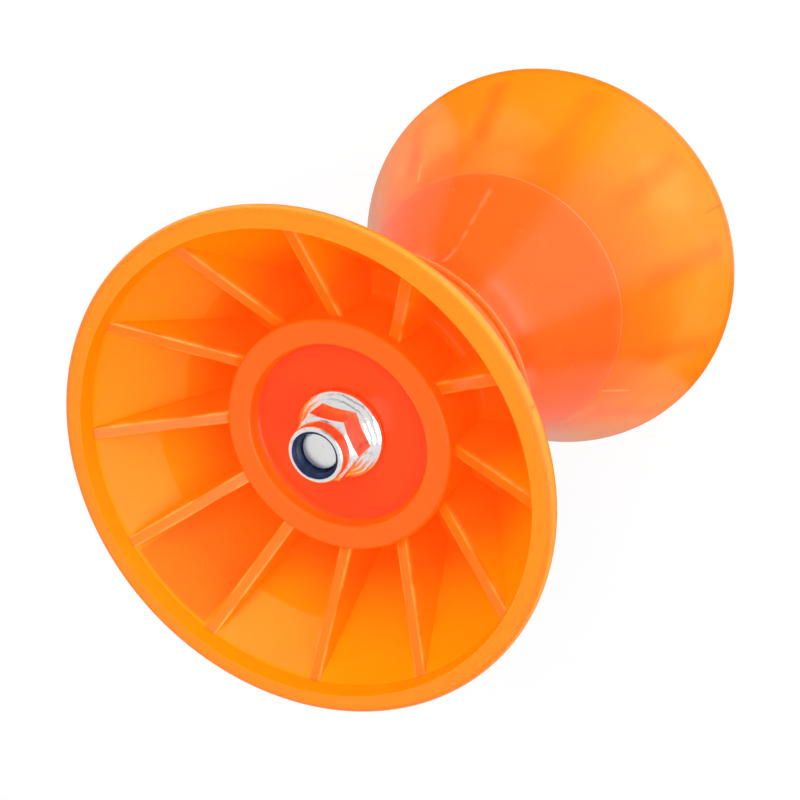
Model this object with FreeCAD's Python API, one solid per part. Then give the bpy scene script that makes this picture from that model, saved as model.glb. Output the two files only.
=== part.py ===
import FreeCAD, Part
import math
import os

# A boat trailer roller, standing on the rim of its lower bell. One long bolt holds a waisted
# centre roller between two ribbed bells, and a flanged lock nut ends the stack with a little
# end play, so the three pieces turn on the bolt each by itself. The origin is the middle of
# the lower rim, +Z runs up the bolt, and +X runs along one rib of the upper bell.

# Centre roller
roller_diameter = 79.4
waist_diameter = 50.0
waist_round = 22.0
roller_length = 76.2
roller_edge_round = 0.9

# Bells
rim_diameter = 120.65
rim_edge_round = 1.8
rim_opening_diameter = 111.2
bell_depth = 46.0
neck_diameter = 76.2
neck_edge_round = 0.7
lip_depth = 4.0
lip_taper = 0.7
wall_width = 4.3
wall_floor_round = 2.0
web_thickness = 6.0

# Hub ring in each bell, around the socket for the bolt head or the nut
hub_diameter = 57.4
hub_face_depth = 21.4
hub_taper = 0.4
hub_edge_round = 0.8
socket_diameter = 45.6
socket_depth = 3.6
socket_floor_round = 1.6

# Ribs between hub ring and rim
rib_count = 12
rib_thickness = 3.0
rib_draft = 1.2
rib_edge_round = 0.5
rib_step_at_hub = 2.9
lower_bell_turn = 11.2

# Bolt, an M10 hex flange bolt
bolt_diameter = 10.0
bolt_end_setback = 3.0
bolt_end_chamfer = 0.75
hex_width = 15.0
hex_chamfer = 0.9
head_height = 9.2
head_flange_diameter = 22.3
bore_clearance = 0.08

# Lock nut, a flanged M10 nut whose rolled collar holds a nylon ring
nut_height = 14.0
nut_hex_height = 9.9
nut_flange_diameter = 21.8
nut_turn = 23.0
flange_edge = 1.3
flange_rise = 2.3
collar_diameter = 14.1
collar_round = 0.9
collar_wall = 0.6
collar_mouth_diameter = 11.7
insert_thickness = 3.2
insert_setback = 0.7
thread_clearance = 0.02

# Gap at each face that turns against another
running_gap = 0.2

roller_radius = roller_diameter / 2
waist_radius = waist_diameter / 2
rim_radius = rim_diameter / 2
neck_radius = neck_diameter / 2
hub_radius = hub_diameter / 2
lip_radius = rim_opening_diameter / 2 - lip_taper
bore_radius = bolt_diameter / 2 + bore_clearance
thread_radius = bolt_diameter / 2 + thread_clearance
floor_depth = bell_depth - web_thickness
socket_floor = hub_face_depth + socket_depth
overall_length = 2 * bell_depth + 2 * running_gap + roller_length
head_seat = socket_floor - running_gap
nut_seat = overall_length - head_seat
bolt_length = nut_seat + nut_height - bolt_end_setback - head_seat

origin = FreeCAD.Vector(0, 0, 0)
up = FreeCAD.Vector(0, 0, 1)


def outline(corners):
    """A closed face in the XZ plane from (across, height, rounding) corners."""
    points = [FreeCAD.Vector(across, 0, height) for across, height, rounding in corners]
    edges = []
    trail = []
    for index, (across, height, rounding) in enumerate(corners):
        corner = points[index]
        back = (points[index - 1] - corner).normalize()
        ahead = (points[(index + 1) % len(points)] - corner).normalize()
        half_angle = back.getAngle(ahead) / 2
        reach = rounding / math.tan(half_angle)
        start = corner + back * reach
        end = corner + ahead * reach
        if trail:
            edges.append(Part.makeLine(trail[-1], start))
        if rounding:
            inward = (back + ahead).normalize()
            crown = corner + inward * (rounding / math.sin(half_angle) - rounding)
            edges.append(Part.Arc(start, crown, end).toShape())
        trail += [start, end]
    edges.append(Part.makeLine(trail[-1], trail[0]))
    return Part.Face(Part.Wire(edges))


def turned(corners):
    """A solid turned around Z from its (radius, height, rounding) corners."""
    return outline(corners).revolve(origin, up, 360)


def rim_corner_radius():
    """Where the outer cone, tangent to the rounded rim, meets the plane of the rim."""
    across = rim_radius - rim_edge_round - neck_radius
    along = bell_depth - rim_edge_round
    slope = math.atan2(across, along) + math.asin(rim_edge_round / math.hypot(across, along))
    return neck_radius + bell_depth * math.tan(slope)


def floor_radius():
    """Radius where the inner cone meets the floor of the pockets."""
    slope = (rim_corner_radius() - neck_radius) / bell_depth
    return neck_radius + slope * web_thickness - wall_width


def bell_shell():
    """Flared wall, web and hub ring as one turned shape, rim at height 0 and neck on top."""
    return turned([
        (bore_radius, bell_depth, 0),
        (bore_radius, socket_floor, 0),
        (socket_diameter / 2 - hub_taper, socket_floor, socket_floor_round),
        (socket_diameter / 2, hub_face_depth, hub_edge_round),
        (hub_radius, hub_face_depth, hub_edge_round),
        (hub_radius + hub_taper, floor_depth, wall_floor_round),
        (floor_radius(), floor_depth, wall_floor_round),
        (lip_radius, lip_depth, 0),
        (lip_radius + lip_taper, 0, 0),
        (rim_corner_radius(), 0, rim_edge_round),
        (neck_radius, bell_depth, neck_edge_round),
    ])


def rib():
    """One drafted rib along +X, its rounded crest falling from the lip to the hub ring."""
    crest_at_hub = hub_face_depth + rib_step_at_hub
    crest = FreeCAD.Vector(lip_radius - hub_radius, 0, lip_depth - crest_at_hub)
    start = FreeCAD.Vector(hub_radius, 0, crest_at_hub) - crest * (hub_edge_round / crest.x)
    run = crest * (1 + (hub_edge_round + lip_taper) / crest.x)
    half_crest = rib_thickness / 2
    half_root = half_crest + bell_depth * math.tan(math.radians(rib_draft))
    section = outline([
        (-half_crest, 0, rib_edge_round),
        (half_crest, 0, rib_edge_round),
        (half_root, bell_depth, 0),
        (-half_root, bell_depth, 0),
    ])
    section.rotate(origin, up, 90)
    return section.translated(start).extrude(run)


def bell_envelope():
    """Everything inside the middle of the flared wall, to trim the ribs' outer ends."""
    corner = rim_corner_radius()
    return turned([
        (0, bell_depth - web_thickness / 2, 0),
        (0, 0, 0),
        (corner - wall_width / 2, 0, 0),
        (neck_radius - wall_width / 2, bell_depth - web_thickness / 2, 0),
    ])


def bell():
    """One moulded bell, mouth down, its rim's face at height 0."""
    envelope = bell_envelope()
    trimmed = rib().common(envelope)
    ribs = []
    for index in range(rib_count):
        turn = 360 * index / rib_count
        ribs.append(trimmed.rotated(origin, up, turn))
    return bell_shell().fuse(ribs).removeSplitter()


def hex_prism(width, low, high):
    """An upright hexagonal prism with a corner on +X."""
    corner = width / math.sqrt(3)
    points = []
    for index in range(7):
        angle = math.radians(60 * index)
        points.append(FreeCAD.Vector(corner * math.cos(angle), corner * math.sin(angle), low))
    return Part.Face(Part.makePolygon(points)).extrude(up * (high - low))


def hex_body(low, high):
    """A wrench hexagon whose corners are turned off at the top."""
    corner = hex_width / math.sqrt(3)
    flat = hex_width / 2
    turning = turned([
        (0, low, 0),
        (corner, low, 0),
        (corner, high - hex_chamfer, 0),
        (flat - 0.2 * hex_chamfer, high, 0),
        (0, high, 0),
    ])
    return hex_prism(hex_width, low, high).common(turning)


def wrench_flange(diameter):
    """The coned flange under a hexagon, its flat face at height 0."""
    return turned([
        (0, 0, 0),
        (diameter / 2, 0, flange_edge / 3),
        (diameter / 2, flange_edge, flange_edge / 3),
        (hex_width / 2 - hex_chamfer, flange_edge + flange_rise, 0),
        (0, flange_edge + flange_rise, 0),
    ])


def axle_bolt():
    """The bolt, its flanged head seated in the lower bell's socket."""
    shank = turned([
        (0, 0, 0),
        (bolt_diameter / 2, 0, 0),
        (bolt_diameter / 2, bolt_length - bolt_end_chamfer, 0),
        (bolt_diameter / 2 - bolt_end_chamfer, bolt_length, 0),
        (0, bolt_length, 0),
    ])
    head = wrench_flange(head_flange_diameter).fuse(hex_body(flange_edge, head_height))
    head.rotate(origin, FreeCAD.Vector(1, 0, 0), 180)
    return shank.fuse(head).removeSplitter().translated(up * head_seat)


def lock_nut():
    """The flanged nut, seated over the upper bell's socket floor."""
    mouth = collar_mouth_diameter / 2
    collar_radius = collar_diameter / 2
    collar = turned([
        (0, nut_hex_height - hex_chamfer, 0),
        (collar_radius, nut_hex_height - hex_chamfer, 0),
        (collar_radius, nut_height, collar_round),
        (0, nut_height, 0),
    ])
    body = wrench_flange(nut_flange_diameter).fuse([hex_body(flange_edge, nut_hex_height), collar])
    pocket_floor = nut_height - insert_setback - insert_thickness
    bore = turned([
        (0, -1, 0),
        (thread_radius, -1, 0),
        (thread_radius, pocket_floor, 0),
        (collar_radius - collar_wall, pocket_floor, 0),
        (collar_radius - collar_wall, nut_height - insert_setback, 0),
        (mouth, nut_height - insert_setback, 0),
        (mouth, nut_height + 1, 0),
        (0, nut_height + 1, 0),
    ])
    nut = body.cut(bore).removeSplitter()
    nut.rotate(origin, up, nut_turn)
    return nut.translated(up * nut_seat)


def nylon_insert():
    """The nylon ring held under the nut's rolled collar."""
    low = nut_height - insert_setback - insert_thickness
    ring_radius = collar_diameter / 2 - collar_wall
    ring = turned([
        (thread_radius, low, 0),
        (ring_radius, low, 0),
        (ring_radius, low + insert_thickness, 0),
        (thread_radius, low + insert_thickness, 0),
    ])
    return ring.translated(up * nut_seat)


def waist_corner_radius():
    """Where the roller's two cones, tangent to the rounded waist, would meet."""
    across = waist_radius + waist_round - roller_radius
    along = roller_length / 2
    slope = math.asin(waist_round / math.hypot(across, along)) - math.atan2(across, along)
    return roller_radius - along * math.tan(slope)


def centre_roller():
    """The waisted roller between the bells' necks, a keel's seat."""
    roller = turned([
        (bore_radius, 0, 0),
        (roller_radius, 0, roller_edge_round),
        (waist_corner_radius(), roller_length / 2, waist_round),
        (roller_radius, roller_length, roller_edge_round),
        (bore_radius, roller_length, 0),
    ])
    return roller.translated(up * (bell_depth + running_gap))


def upper_bell():
    """The bell at the nut's end, turned mouth up."""
    flipped = bell().rotated(origin, FreeCAD.Vector(1, 0, 0), 180)
    return flipped.translated(up * overall_length)


def lower_bell():
    """The bell at the head's end, stopped a little round from the upper one."""
    return bell().rotated(origin, up, lower_bell_turn)


os.makedirs("parts", exist_ok=True)
pieces = {
    "upper_bell": upper_bell(),
    "lower_bell": lower_bell(),
    "centre_roller": centre_roller(),
    "axle_bolt": axle_bolt(),
    "lock_nut": lock_nut(),
    "nylon_insert": nylon_insert(),
}
for name, shape in pieces.items():
    solids = shape.Solids
    print(name, len(solids), "solid", round(shape.Volume / 1000, 2), "cm3", shape.isValid())
    solids[0].exportStep("parts/" + name + ".step")
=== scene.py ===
import math
import bmesh
import bpy
from mathutils import Euler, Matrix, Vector


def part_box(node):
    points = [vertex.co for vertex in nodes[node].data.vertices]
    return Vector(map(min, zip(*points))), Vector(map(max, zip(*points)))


# Finishes, light and camera for the boat trailer roller: two ribbed orange bells, a waisted
# drum between them, and a bright bolt and lock nut through all three.
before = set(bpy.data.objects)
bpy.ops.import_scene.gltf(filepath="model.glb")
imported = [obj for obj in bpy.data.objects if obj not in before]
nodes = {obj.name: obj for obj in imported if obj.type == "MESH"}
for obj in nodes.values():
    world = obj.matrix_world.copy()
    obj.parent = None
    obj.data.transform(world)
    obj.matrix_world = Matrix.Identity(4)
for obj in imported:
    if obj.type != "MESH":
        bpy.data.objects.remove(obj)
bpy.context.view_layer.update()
print("frame loaded:", sorted(nodes))


class Wire:
    # a socket that can stand in a sum
    def __init__(self, finish, socket):
        self.finish = finish
        self.socket = socket

    def __add__(self, other):
        return self.finish.maths("ADD", self, other)

    def __radd__(self, other):
        return self.finish.maths("ADD", other, self)

    def __sub__(self, other):
        return self.finish.maths("SUBTRACT", self, other)

    def __rsub__(self, other):
        return self.finish.maths("SUBTRACT", other, self)

    def __mul__(self, other):
        return self.finish.maths("MULTIPLY", self, other)

    def __truediv__(self, other):
        return self.finish.maths("DIVIDE", self, other)

    def __abs__(self):
        return self.finish.maths("ABSOLUTE", self)


class Finish:
    # one material and the few calls that build its nodes
    def __init__(self, name, **shaderValues):
        self.material = bpy.data.materials.new(name)
        self.material.use_nodes = True
        self.tree = self.material.node_tree
        self.shader = self.tree.nodes["Principled BSDF"]
        for socketName, value in shaderValues.items():
            self.shader.inputs[socketName.replace("_", " ")].default_value = value

    def node(self, kind, settings=None, sockets=None, output=0):
        made = self.tree.nodes.new(kind)
        for key, value in (settings or {}).items():
            setattr(made, key, value)
        for key, value in (sockets or {}).items():
            if isinstance(value, Wire):
                self.tree.links.new(value.socket, made.inputs[key])
            else:
                made.inputs[key].default_value = value
        return Wire(self, made.outputs[output])

    def maths(self, operation, *values):
        return self.node("ShaderNodeMath", {"operation": operation}, dict(enumerate(values)))

    def mix(self, factor, first, second):
        sockets = {0: factor, 6: first, 7: second}
        return self.node("ShaderNodeMix", {"data_type": "RGBA"}, sockets, 2)

    def clamp(self, value):
        return self.node("ShaderNodeClamp", None, {0: value})

    def step(self, value, low, high):
        # 0 below low, 1 above high, smooth between
        settings = {"interpolation_type": "SMOOTHSTEP"}
        return self.node("ShaderNodeMapRange", settings, {0: value, 1: low, 2: high})

    def fade(self, value, low, high):
        # 1 below low, 0 above high
        return 1 - self.step(value, low, high)

    def noise(self, scale, detail=3.0, roughness=0.5, distortion=0.0):
        sockets = {"Vector": self.place(), "Scale": scale, "Detail": detail,
                   "Roughness": roughness, "Distortion": distortion}
        return self.node("ShaderNodeTexNoise", None, sockets)

    def place(self):
        return self.node("ShaderNodeTexCoord", output=3)

    def axes(self):
        split = self.node("ShaderNodeSeparateXYZ", None, {0: self.place()})
        return [Wire(self, output) for output in split.socket.node.outputs]

    def bump(self, height):
        # height in metres
        sockets = {"Height": height, "Distance": 1.0, "Strength": 1.0}
        return self.node("ShaderNodeBump", None, sockets)

    def feed(self, **sockets):
        for socketName, value in sockets.items():
            self.tree.links.new(value.socket, self.shader.inputs[socketName.replace("_", " ")])
        return self.material


def paint(nodeName, material):
    slots = nodes[nodeName].data.materials
    if len(slots):
        slots[0] = material
    else:
        slots.append(material)


# Bells: clear orange moulding, yellower where the wall is thin, redder in its thick hub
bellLook = {
    "clearColour": (1.0, 0.205, 0.001, 1),
    "deepColour": (1.0, 0.085, 0.005, 1),
    "socketColour": (0.92, 0.046, 0.003, 1),
    "paleColour": (1.0, 0.36, 0.075, 1),
    "panelColour": (1.0, 0.2, 0.035, 1),
    "turnedColour": (1.0, 0.158, 0.006, 1),
    "crestColour": (1.0, 0.105, 0.004, 1),
    "subsurface": 0.5,
    "reach": (0.9, 0.3, 0.03),
    "reachScale": 0.009,
    "ior": 1.46,
    "specular": 0.28,
    # painted glow: the inside of the mouth emits this colour, standing in for light that comes
    # through the wall
    "paintedGlowColour": (1.0, 0.27, 0.0, 1),   # what comes through the wall into the mouth
    "paintedGlowStrength": 0.15,
    "roughness": 0.2,
    # where things lie, as blends from and to: radii, and depths below the rim
    "flare": 0.4826,                 # how fast the outside narrows with depth
    "skinRadius": (0.0581, 0.0593),  # the outside, carried back to the rim
    "socketRadius": (0.0217, 0.0226),
    "hubRadius": (0.0287, 0.0295),
    "hubToWall": (0.0285, 0.05),
    "wallRadius": (0.03, 0.032),
    "rimRadius": (0.0554, 0.0558),
    "rimEdgeRadius": (0.0595, 0.0599),
    "rimFaceDepth": (0.00025, 0.0005),
    "rimEdgeStart": (0.0004, 0.0008),
    "rimEdgeEnd": (0.0014, 0.0019),
    "lipEnd": (0.0034, 0.0044),
    "belowLip": (0.0044, 0.005),
    "pocketDepth": (0.003, 0.036),
    "neckDepth": (0.014, 0.046),
    # ribs
    "ribSpacing": 30.0,
    "ribOuterRadius": 0.0549,
    "ribOuterDepth": 0.004,
    "ribFall": 0.775,                # how fast a rib's crest falls towards the hub
    "ribSide": (0.0015, 0.0019),     # half-width of a crest
    "ribFillet": (0.0015, 0.0031),
    # painted highlight: the pale line along a crest's edge
    "ribEdge": (0.0008, 0.0013),     # where the pale line on a crest's edge begins
    "crestDrop": (0.0003, 0.0022),
    "crestStart": (0.003, 0.0042),
    "crestShare": 0.85,
    "edgeBreaks": (0.35, 0.6),
    "edgeHighlightShare": 0.42,
    # a rib's shadow in the wall outside
    "shadeSide": (0.0004, 0.0062),
    "shadeStart": (0.005, 0.009),
    "shadeEnd": (0.026, 0.042),
    "shadeWander": 0.002,
    "shadeStrength": 0.55,
    "shadeSwing": 1.6,
    # how much each deepens the colour
    "pocketShadeDeepens": 0.6,
    "hubDeepens": 0.85,
    "neckDeepens": 0.62,
    "shadeDeepens": 0.42,
    "lipDeepens": 0.2,
    "cloudDeepens": 0.22,
    "panelLightens": 0.3,
    "hubReddens": 0.35,
    # panels and patches of painted light, and painted shade in panels below zero
    "panelSide": 0.004,              # radians
    "panelEnd": 0.0003,
    "patchBand": (0.5, 0.72),
    "lightPatchShare": 0.22,
    # mould marks and rim
    "markWander": 0.02,              # radians
    "markEnd": 0.001,
    "markHeight": 0.00004,
    "rimEdgeShare": 0.35,
    "turnedPitch": 0.00042,          # lathe lines on the rim's face
    "turnedDepth": 0.000016,
    "turnedLeast": 0.3,
    "turnedRoughness": 0.2,
    "skinHeight": 0.000004,
    "roughnessSwing": 0.16,
    # noises: scale, detail and roughness
    "cloudNoise": (38.0, 3.0),
    "driftNoise": (21.0, 2.0),
    "patchNoise": (34.0, 2.0),
    "edgeNoise": (110.0, 2.0),
    "wearNoise": (900.0, 2.0, 0.6),
    "skinNoise": (2600.0, 2.0),
    "roughnessNoise": (160.0, 2.0, 0.6),
}
# mould marks outside a bell: azimuth in degrees, from and to depth, width, and how pale
partingMarks = [
    (-7.0, 0.0, 0.0095, 0.0005, -0.5),
    (-66.0, 0.03, 0.043, 0.0007, 0.6),
    (97.0, 0.031, 0.04, 0.0008, 0.6),
]
# painted light between ribs on the inner wall, and painted shade where how pale is below zero:
# azimuth from and to, depth they end at, how pale
paintedLightAndShade = [
    (150.0, 180.0, 0.0192, 0.55),
    (-150.0, -120.0, 0.0186, 0.5),
    (90.0, 150.0, 0.0268, 0.3),
    # painted shade: this pocket is made darker
    (180.0, 210.0, 0.04, -2.4),
]


def orangeBell(name, rimHeight, ribTurn, panels):
    look = bellLook
    finish = Finish(name, Subsurface_Weight=look["subsurface"], Subsurface_Radius=look["reach"],
                    Subsurface_Scale=look["reachScale"], IOR=look["ior"],
                    Specular_IOR_Level=look["specular"], Emission_Strength=look["paintedGlowStrength"])
    x, y, z = finish.axes()
    radius = finish.maths("SQRT", x * x + y * y)
    angle = finish.maths("ARCTAN2", y, x)
    depth = abs(z - rimHeight)
    outside = finish.step(radius + depth * look["flare"], *look["skinRadius"])
    inside = 1 - outside
    cloud = finish.noise(*look["cloudNoise"]) - 0.5
    drift = finish.noise(*look["driftNoise"]) - 0.5
    spacing = math.radians(look["ribSpacing"])
    turns = (angle - math.radians(ribTurn)) / spacing + 2 * math.pi / spacing
    away = finish.maths("PINGPONG", turns, 0.5) * spacing * radius

    # how deep the colour goes, 0 in the thin wall and 1 in the hub: partly the thick moulding,
    # partly painted shade deeper down the pockets and nearer the hub; outside, redder towards the
    # neck
    inner = finish.step(depth, *look["pocketDepth"]) * look["pocketShadeDeepens"]
    inner = inner + finish.fade(radius, *look["hubToWall"]) * look["hubDeepens"]
    ribShade = finish.fade(away + drift * look["shadeWander"], *look["shadeSide"])
    ribShade = ribShade * finish.step(depth, *look["shadeStart"])
    ribShade = ribShade * finish.fade(depth, *look["shadeEnd"])
    ribShade = ribShade * (drift * look["shadeSwing"] + look["shadeStrength"])
    lipShade = finish.fade(depth, *look["lipEnd"])
    outer = finish.step(depth, *look["neckDepth"]) * look["neckDeepens"]
    outer = outer + ribShade * look["shadeDeepens"] + lipShade * look["lipDeepens"]
    thickAndShaded = inner * inside + outer * outside + cloud * look["cloudDeepens"]

    # painted light: pale patches on the inner wall between the ribs, and painted shade where a
    # panel's amount is below zero
    onWall = inside * finish.step(radius, *look["wallRadius"])
    onWall = onWall * finish.step(away, *look["ribFillet"])
    onWall = onWall * finish.step(depth, *look["belowLip"])
    paleness = 0.0
    for start, end, limit, amount in panels:
        middle, half = math.radians((start + end) / 2), math.radians((end - start) / 2)
        off = finish.maths("PINGPONG", angle - middle + 4 * math.pi, math.pi)
        panel = finish.fade(off, half - look["panelSide"], half) * onWall
        panel = panel * finish.fade(depth, limit - look["panelEnd"], limit + look["panelEnd"])
        paleness = panel * amount + paleness
    thickAndShaded = finish.clamp(thickAndShaded - paleness * look["panelLightens"])
    tone = finish.mix(thickAndShaded, look["clearColour"], look["deepColour"])
    tone = finish.mix(finish.clamp(paleness), tone, look["panelColour"])

    # the redder hub and socket, and painted light: pale patches outside, away from the rib shadows
    # and the lip
    inSocket = finish.fade(radius, *look["socketRadius"])
    onHub = finish.fade(radius, *look["hubRadius"]) * inside
    redness = finish.clamp(inSocket + onHub * look["hubReddens"])
    tone = finish.mix(redness, tone, look["socketColour"])
    # painted light patches outside, placed by noise
    lightPatches = finish.step(finish.noise(*look["patchNoise"]), *look["patchBand"])
    lightPatches = lightPatches * outside * (1 - ribShade) * (1 - lipShade)
    tone = finish.mix(lightPatches * look["lightPatchShare"], tone, look["paleColour"])

    # rib crests, with a painted highlight along their two edges
    drop = depth - (look["ribOuterRadius"] - radius) * look["ribFall"] - look["ribOuterDepth"]
    crest = finish.fade(drop, *look["crestDrop"]) * finish.fade(away, *look["ribSide"])
    crest = crest * finish.step(radius, *look["hubRadius"]) * inside
    crest = crest * finish.step(depth, *look["crestStart"])
    tone = finish.mix(crest * look["crestShare"], tone, look["crestColour"])
    crestHighlights = crest * finish.step(away, *look["ribEdge"])
    crestHighlights = crestHighlights * finish.step(finish.noise(*look["edgeNoise"]), *look["edgeBreaks"])
    tone = finish.mix(crestHighlights * look["edgeHighlightShare"], tone, look["paleColour"])

    # mould marks, and the pale light in the rounded edge of the rim
    marks = 0.0
    for azimuth, near, far, width, amount in partingMarks:
        across = abs(angle - math.radians(azimuth) + drift * look["markWander"]) * radius
        mark = finish.fade(across, 0.0, width) * finish.step(depth, near, near + look["markEnd"])
        marks = mark * finish.fade(depth, far - look["markEnd"], far) * outside * amount + marks
    rimEdge = finish.step(radius, *look["rimEdgeRadius"])
    rimEdge = rimEdge * finish.step(depth, *look["rimEdgeStart"])
    rimEdge = rimEdge * finish.fade(depth, *look["rimEdgeEnd"])
    pale = finish.clamp(marks + rimEdge * look["rimEdgeShare"])
    tone = finish.mix(pale, tone, look["paleColour"])
    tone = finish.mix(finish.clamp(marks * -1.0), tone, look["deepColour"])

    # the rim's turned face
    onRimFace = finish.step(radius, *look["rimRadius"]) * finish.fade(depth, *look["rimFaceDepth"])
    tone = finish.mix(onRimFace, tone, look["turnedColour"])
    lathe = finish.maths("SINE", radius * (2 * math.pi / look["turnedPitch"]))
    wear = finish.noise(*look["wearNoise"]) + look["turnedLeast"]
    height = onRimFace * (lathe * wear) * look["turnedDepth"]
    height = height + finish.noise(*look["skinNoise"]) * look["skinHeight"]
    height = height + marks * look["markHeight"]
    roughness = look["roughness"] + onRimFace * look["turnedRoughness"]
    roughness = roughness + (finish.noise(*look["roughnessNoise"]) - 0.5) * look["roughnessSwing"]
    # painted glow inside the mouth, away from the socket
    mouthGlow = finish.mix(inside * (1 - inSocket), (0, 0, 0, 1), look["paintedGlowColour"])
    return finish.feed(Base_Color=tone, Emission_Color=mouthGlow, Roughness=roughness,
                       Normal=finish.bump(height))


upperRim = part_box("upper_bell")[1][2]
lowerBellTurn = 11.2
paint("upper_bell", orangeBell("upperBellOrange", upperRim, 0.0, paintedLightAndShade))
paint("lower_bell", orangeBell("lowerBellOrange", 0.0, lowerBellTurn, []))
print("bells finished")


# Drum: the same orange, thick and satin, with a ragged line of flash along its lower cone
drumLook = {
    "colour": (1.0, 0.094, 0.001, 1),
    "endColour": (1.0, 0.12, 0.008, 1),
    "paleColour": (1.0, 0.26, 0.09, 1),
    "subsurface": 0.35,
    "reach": (0.9, 0.3, 0.04),
    "reachScale": 0.012,
    "ior": 1.46,
    "specular": 0.32,
    "roughness": 0.25,
    "roughnessSwing": 0.14,
    "cloudShare": 0.4,
    "endShare": 0.5,
    "flashAngle": 55.4,              # degrees round from +X
    "flashWander": 0.05,             # radians
    "flashStart": (0.049, 0.055),
    "flashWidth": 0.0010,
    "flashHeight": 0.00014,
    "flashBreaks": (0.28, 0.54),
    "flashShare": 0.42,
    "meanRadius": 0.033,
    "lowEnd": 0.0462,
    "highEnd": 0.1224,
    "endBand": 0.006,
    # painted highlight: a pale ring over each rounded end
    "edgeStart": (0.00036, 0.00063), # pale ring over each rounded end, as distances from the end
    "edgeEnd": (0.00108, 0.00153),
    "edgeHighlightShare": 0.5,
    "skinHeight": 0.000006,
    "wanderNoise": (75.0, 3.0),
    "breakNoise": (240.0, 3.0),
    "skinNoise": (1500.0, 3.0),
    "cloudNoise": (30.0, 3.0),
    "roughnessNoise": (120.0, 2.0, 0.6),
}


def orangeDrum():
    look = drumLook
    finish = Finish("drumOrange", Subsurface_Weight=look["subsurface"],
                    Subsurface_Radius=look["reach"], Subsurface_Scale=look["reachScale"],
                    IOR=look["ior"], Specular_IOR_Level=look["specular"])
    x, y, z = finish.axes()
    angle = finish.maths("ARCTAN2", y, x)
    wander = (finish.noise(*look["wanderNoise"]) - 0.5) * look["flashWander"]
    seam = abs(angle - math.radians(look["flashAngle"]) - wander) * look["meanRadius"]
    ragged = finish.step(finish.noise(*look["breakNoise"]), *look["flashBreaks"])
    ridge = finish.fade(seam, 0.0, look["flashWidth"]) * ragged
    ridge = ridge * finish.step(z, *look["flashStart"])
    height = ridge * look["flashHeight"] + finish.noise(*look["skinNoise"]) * look["skinHeight"]
    fromEnd = finish.maths("MINIMUM", z - look["lowEnd"], look["highEnd"] - z)
    atEnds = finish.fade(fromEnd, 0.0, look["endBand"]) * look["endShare"]
    # painted highlight: a pale ring over each rounded end
    endHighlight = finish.step(fromEnd, *look["edgeStart"]) * finish.fade(fromEnd, *look["edgeEnd"])
    cloud = finish.noise(*look["cloudNoise"]) * look["cloudShare"]
    colour = finish.mix(finish.clamp(cloud + atEnds), look["colour"], look["endColour"])
    pale = finish.clamp(ridge * look["flashShare"] + endHighlight * look["edgeHighlightShare"])
    colour = finish.mix(pale, colour, look["paleColour"])
    swing = (finish.noise(*look["roughnessNoise"]) - 0.5) * look["roughnessSwing"]
    return finish.feed(Base_Color=colour, Roughness=look["roughness"] + swing,
                       Normal=finish.bump(height))


paint("centre_roller", orangeDrum())
print("drum finished")


# Bolt and nut: bright zinc plating, with the bolt's thread cut near its end
steelLook = {
    "colour": (1.0, 0.99, 0.98, 1),
    "tint": (0.88, 0.885, 0.9, 1),
    "tintShare": 0.6,
    "streakColour": (0.3, 0.3, 0.32, 1),
    "cloudNoise": (220.0, 4.0, 0.6),
    # nut: turned rings that break into grey arcs
    "nutRoughness": (0.13, 0.1),     # least, and how much the cloud adds
    "ringPitch": 0.0011,
    "ringWander": 0.0016,
    "ringHeight": 0.000018,
    "arcBand": (0.1, 0.9),
    "arcNoise": (170.0, 2.0),
    "arcBreaks": (0.42, 0.6),
    "arcShare": 0.6,
    "nutStreakNoise": (420.0, 3.0, 0.6, 1.6),
    "nutStreakBand": (0.5, 0.72),
    "nutStreakShare": 0.25,
    "nutSkinNoise": (1400.0, 3.0),
    "nutSkinHeight": 0.000008,
    # bolt: duller, threaded
    "boltRoughness": (0.22, 0.2),
    "threadPitch": 0.0015,
    "threadLength": 0.032,
    "threadRunout": 0.001,
    "threadDepth": 0.0006,
    "shankRadius": (0.0042, 0.0046),
    "boltStreakNoise": (420.0, 4.0, 0.6, 1.6),
    "boltStreakBand": (0.56, 0.74),
    "boltStreakShare": 0.2,
    "boltSkinNoise": (900.0, 3.0),
    "boltSkinHeight": 0.00001,
}


def brightZinc():
    look = steelLook
    finish = Finish("brightZinc", Metallic=1.0)
    x, y, z = finish.axes()
    radius = finish.maths("SQRT", x * x + y * y)
    cloud = finish.noise(*look["cloudNoise"])
    warped = radius + (cloud - 0.5) * look["ringWander"]
    rings = finish.maths("SINE", warped * (2 * math.pi / look["ringPitch"]))
    arcs = finish.step(rings, *look["arcBand"])
    arcs = arcs * finish.step(finish.noise(*look["arcNoise"]), *look["arcBreaks"])
    streaks = finish.step(finish.noise(*look["nutStreakNoise"]), *look["nutStreakBand"])
    grey = finish.clamp(streaks * look["nutStreakShare"] + arcs * look["arcShare"])
    colour = finish.mix(cloud * look["tintShare"], look["colour"], look["tint"])
    colour = finish.mix(grey, colour, look["streakColour"])
    skin = finish.noise(*look["nutSkinNoise"]) * look["nutSkinHeight"]
    height = rings * look["ringHeight"] + skin
    least, swing = look["nutRoughness"]
    return finish.feed(Base_Color=colour, Roughness=least + cloud * swing,
                       Normal=finish.bump(height))


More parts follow.
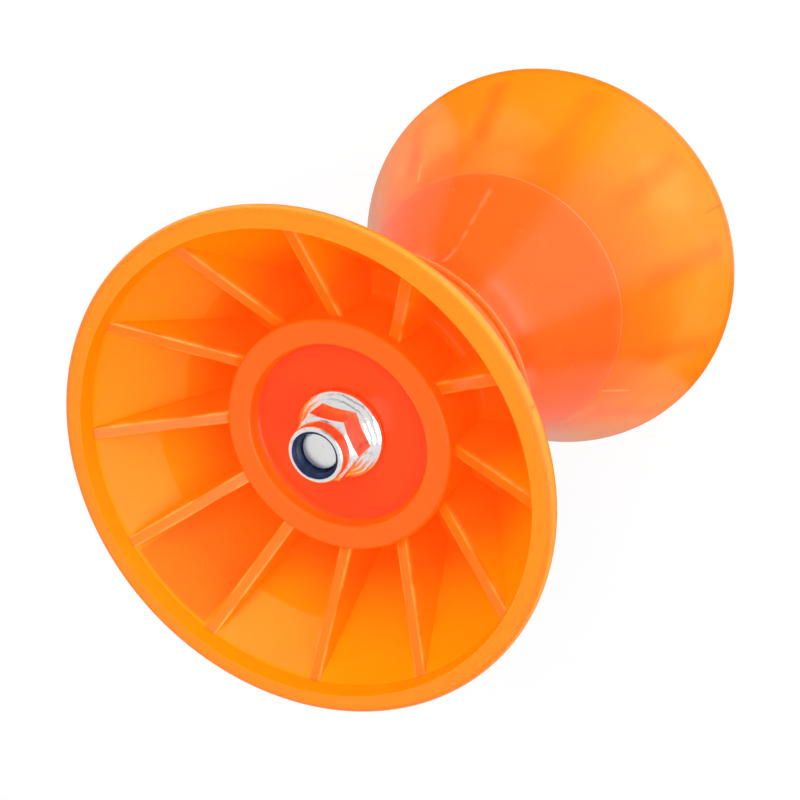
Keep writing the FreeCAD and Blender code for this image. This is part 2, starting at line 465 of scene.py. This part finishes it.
def threadedZinc():
    look = steelLook
    finish = Finish("threadedZinc", Metallic=1.0)
    x, y, z = finish.axes()
    radius = finish.maths("SQRT", x * x + y * y)
    turns = z / look["threadPitch"] - finish.maths("ARCTAN2", y, x) / (2 * math.pi)
    groove = finish.maths("PINGPONG", turns, 0.5) * 2
    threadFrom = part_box("axle_bolt")[1][2] - look["threadLength"]
    threaded = finish.step(z, threadFrom, threadFrom + look["threadRunout"])
    groove = groove * finish.step(radius, *look["shankRadius"]) * threaded
    cloud = finish.noise(*look["cloudNoise"])
    streaks = finish.step(finish.noise(*look["boltStreakNoise"]), *look["boltStreakBand"])
    colour = finish.mix(cloud * look["tintShare"], look["colour"], look["tint"])
    colour = finish.mix(streaks * look["boltStreakShare"], colour, look["streakColour"])
    skin = finish.noise(*look["boltSkinNoise"]) * look["boltSkinHeight"]
    height = groove * look["threadDepth"] + skin
    least, swing = look["boltRoughness"]
    return finish.feed(Base_Color=colour, Roughness=least + cloud * swing,
                       Normal=finish.bump(height))


paint("lock_nut", brightZinc())
paint("axle_bolt", threadedZinc())


# Nylon ring: dark blue, a little scuffed
nylonLook = {
    "colour": (0.006, 0.012, 0.045, 1),
    "scuffed": (0.02, 0.035, 0.1, 1),
    "ior": 1.53,
    "specular": 0.2,
    "roughness": (0.32, 0.2),        # least, and how much the scuffs add
    "scuffNoise": (700.0, 4.0, 0.7),
    "scuffBand": (0.45, 0.75),
    "scuffHeight": 0.00002,
}


def darkNylon():
    look = nylonLook
    finish = Finish("darkNylon", IOR=look["ior"], Specular_IOR_Level=look["specular"])
    scuffs = finish.noise(*look["scuffNoise"])
    colour = finish.mix(finish.step(scuffs, *look["scuffBand"]), look["colour"], look["scuffed"])
    least, swing = look["roughness"]
    return finish.feed(Base_Color=colour, Roughness=least + scuffs * swing,
                       Normal=finish.bump(scuffs * look["scuffHeight"]))


paint("nylon_insert", darkNylon())
print("hardware finished")


# Studio: white floor and surround, soft lamps, camera where the photograph was taken from
studioLook = {
    "floorSize": 6.0,
    "floorWhite": (0.8, 0.8, 0.8, 1),
    "floorRoughness": 0.9,
    "floorShadow": 0.12,             # how much of the floor's own shading the camera sees
    "floorGloss": 0.04,              # brightness of the floor in reflections, away from the cards
    "cards": [
        # cards on the floor as reflections see them: middle azimuth, half-width, edge, brightness
        (3.0, 31.0, 16.0, 1.65),
        (138.0, 42.0, 4.0, 0.5),
        (-113.0, 45.0, 4.0, 0.55),
    ],
    "worldLight": 0.48,
    "worldGloss": 0.75,              # brightness of the surround in reflections
    "worldSeen": 1.0,
    "lampAim": 0.1,                  # height that the lamps point at
    "lamps": [
        # name, azimuth, elevation, distance, size, power, seen in reflections
        ("topSoftbox", 58, 40, 1.2, 0.8, 9.0, False),
        ("sideSoftbox", -37, 40, 1.2, 0.8, 8.0, True),
        ("frontSoftbox", 25, 66, 1.3, 0.7, 11.0, False),
    ],
}


def whiteFloor():
    look = studioLook
    mesh = bpy.data.meshes.new("floor")
    shape = bmesh.new()
    bmesh.ops.create_grid(shape, x_segments=1, y_segments=1, size=look["floorSize"] / 2)
    shape.to_mesh(mesh)
    shape.free()
    floor = bpy.data.objects.new("floor", mesh)
    bpy.context.scene.collection.objects.link(floor)
    finish = Finish("floorWhite", Base_Color=look["floorWhite"], Roughness=look["floorRoughness"])
    path = finish.node("ShaderNodeLightPath").socket.node.outputs
    direct = Wire(finish, path["Is Camera Ray"])
    through = Wire(finish, path["Is Transmission Ray"])
    seen = finish.maths("MAXIMUM", direct, through)
    mirrored = Wire(finish, path["Is Glossy Ray"])
    x, y, z = finish.axes()
    azimuth = finish.maths("ARCTAN2", y, x) * (180 / math.pi)
    gloss = look["floorGloss"]
    halfTurn = 180.0
    for middle, halfWidth, edge, brightness in look["cards"]:
        off = finish.maths("PINGPONG", azimuth - middle + 4 * halfTurn, halfTurn)
        gloss = finish.fade(off, halfWidth - edge / 2, halfWidth + edge / 2) * brightness + gloss
    glow = mirrored * gloss + (1 - mirrored)
    white = finish.node("ShaderNodeEmission", None, {"Color": (1, 1, 1, 1), "Strength": glow})
    share = finish.maths("MAXIMUM", seen * (1 - look["floorShadow"]), mirrored)
    matte = Wire(finish, finish.shader.outputs[0])
    blend = finish.node("ShaderNodeMixShader", None, {0: share, 1: matte, 2: white})
    finish.tree.links.new(blend.socket, finish.tree.nodes["Material Output"].inputs["Surface"])
    mesh.materials.append(finish.material)


def whiteWorld():
    world = bpy.data.worlds.new("studioWorld")
    bpy.context.scene.world = world
    world.use_nodes = True
    tree = world.node_tree
    background = tree.nodes["Background"]
    path = tree.nodes.new("ShaderNodeLightPath")
    mirrored = tree.nodes.new("ShaderNodeMix")
    mirrored.inputs[2].default_value = studioLook["worldLight"]
    mirrored.inputs[3].default_value = studioLook["worldGloss"]
    seen = tree.nodes.new("ShaderNodeMix")
    seen.inputs[3].default_value = studioLook["worldSeen"]
    tree.links.new(path.outputs["Is Glossy Ray"], mirrored.inputs[0])
    tree.links.new(path.outputs["Is Camera Ray"], seen.inputs[0])
    tree.links.new(mirrored.outputs[0], seen.inputs[2])
    tree.links.new(seen.outputs[0], background.inputs["Strength"])
    background.inputs["Color"].default_value = (1, 1, 1, 1)


def addLamp(name, azimuth, elevation, distance, size, power, reflected):
    data = bpy.data.lights.new(name, "AREA")
    data.shape = "SQUARE"
    data.size = size
    data.energy = power
    lamp = bpy.data.objects.new(name, data)
    lamp.visible_glossy = reflected
    bpy.context.scene.collection.objects.link(lamp)
    middle = Vector((0, 0, studioLook["lampAim"]))
    turn, lift = math.radians(azimuth), math.radians(elevation)
    flat = math.cos(lift)
    aim = Vector((flat * math.cos(turn), flat * math.sin(turn), math.sin(lift)))
    lamp.location = middle + aim * distance
    lamp.rotation_euler = aim.to_track_quat("Z", "Y").to_euler()


cameraLook = {
    "lens": 67.407,
    "sensor": 36.0,
    "clipStart": 0.01,
    "place": (0.19653, 0.04592, 0.42961),
    "turn": (-22.8879, 24.0627, -31.9449),
}


def addCamera():
    data = bpy.data.cameras.new("photoCamera")
    data.lens = cameraLook["lens"]
    data.sensor_width = cameraLook["sensor"]
    data.clip_start = cameraLook["clipStart"]
    camera = bpy.data.objects.new("photoCamera", data)
    camera.location = cameraLook["place"]
    camera.rotation_euler = Euler([math.radians(angle) for angle in cameraLook["turn"]], "XYZ")
    bpy.context.scene.collection.objects.link(camera)
    bpy.context.scene.camera = camera


whiteFloor()
whiteWorld()
for lamp in studioLook["lamps"]:
    addLamp(*lamp)
addCamera()
bpy.context.scene.view_settings.view_transform = "Standard"
print("studio ready")
